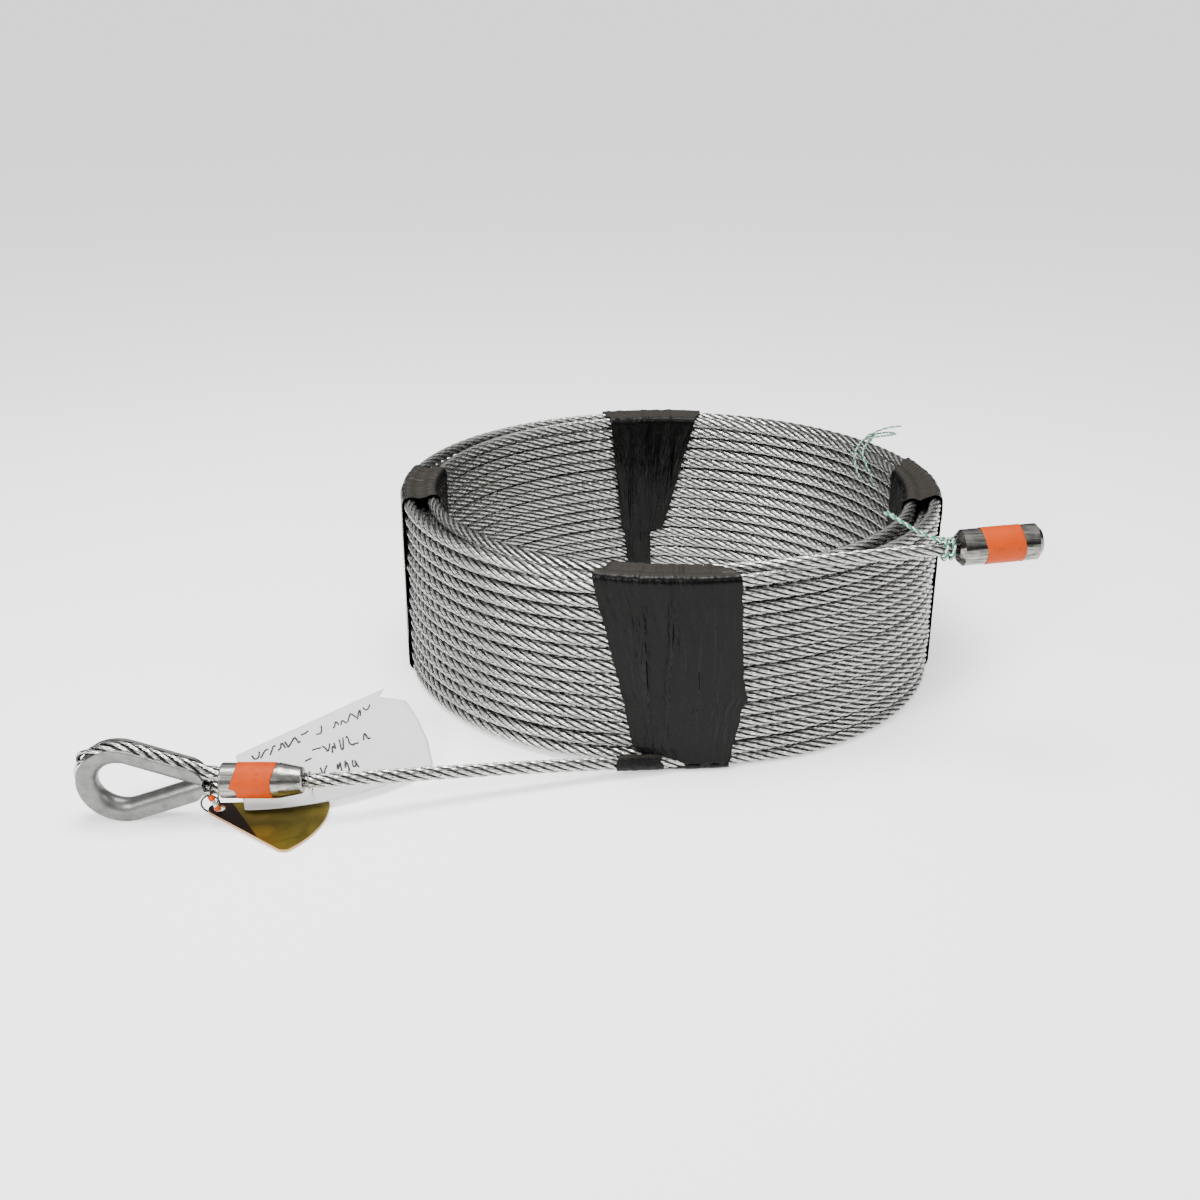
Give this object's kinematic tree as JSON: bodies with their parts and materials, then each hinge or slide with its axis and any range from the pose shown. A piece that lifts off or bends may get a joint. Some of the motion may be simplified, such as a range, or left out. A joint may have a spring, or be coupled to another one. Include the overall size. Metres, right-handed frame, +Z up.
{
  "type": "thimble eye wire rope assembly",
  "caption": "Galvanised wire rope with a heavy thimble eye in a swaged sleeve, hanging tags, a long taped coil and a swaged cylindrical stop button.",
  "frame": {"origin": "centre of the thimble's pin-bearing nose, midway between its flanges", "axes": "+X from the eye along the sleeve towards the coil, +Z up from the surface that the assembly lies on"},
  "size_m": [0.5378, 0.4426, 0.1435],
  "materials": {
    "galvanised_steel": "hot-dip galvanised, matt and mottled",
    "wire_rope": "galvanised drawn wire",
    "sleeve_steel": "pressed, soft streaks",
    "button_steel": "pressed, polished streaks",
    "orange_tape": "vinyl tape",
    "black_tape": "vinyl electrical tape",
    "zinc_yellow_plate": "yellow zinc plated",
    "tag_paper": "card stock",
    "dark_wire": "dark annealed",
    "ferrule_metal": "bright",
    "tie_wire": "soft iron wire",
    "green_twine": "plied polypropylene twine"
  },
  "bodies": {
    "rope_assembly": {"thimble": "galvanised_steel", "eye_rope": "wire_rope", "swage_sleeve": "sleeve_steel", "sleeve_rope": "wire_rope", "strand_tails": "wire_rope", "sleeve_tape": "orange_tape", "paper_tag_wire": "tie_wire", "rope_lead": "wire_rope", "rope_coil": "wire_rope", "rope_tail": "wire_rope", "front_tape": "black_tape", "right_tape": "black_tape", "back_tape": "black_tape", "left_tape": "black_tape", "stop_button": "button_steel", "button_rope_end": "wire_rope", "button_tape": "orange_tape", "neck_twine": "green_twine", "wrap_twine": "green_twine"},
    "tag_hanger": {"tag_wire_loop": "dark_wire", "wire_ferrule": "ferrule_metal", "ferrule_bands": "orange_tape", "split_ring": "dark_wire"},
    "identity_tag": {"id_tag": "zinc_yellow_plate"},
    "paper_label": {"paper_tag": "tag_paper"}
  },
  "joints": [
    {"name": "tag_hanger_swing", "type": "hinge", "parent": "rope_assembly", "child": "tag_hanger", "pos_m": [0.04868, 0.00068, -0.00485], "axis": [-1, 0, 0], "range_deg": [0, 60]},
    {"name": "id_tag_swing", "type": "hinge", "parent": "tag_hanger", "child": "identity_tag", "pos_m": [0.04528, 0.0055, -0.01812], "axis": [0, 1, 0], "range_deg": [0, 90]},
    {"name": "paper_tag_swivel", "type": "hinge", "parent": "rope_assembly", "child": "paper_label", "pos_m": [0.09863, 0.02445, -0.02017], "axis": [0, 0, 1], "range_deg": [-20, 10]}
  ]
}
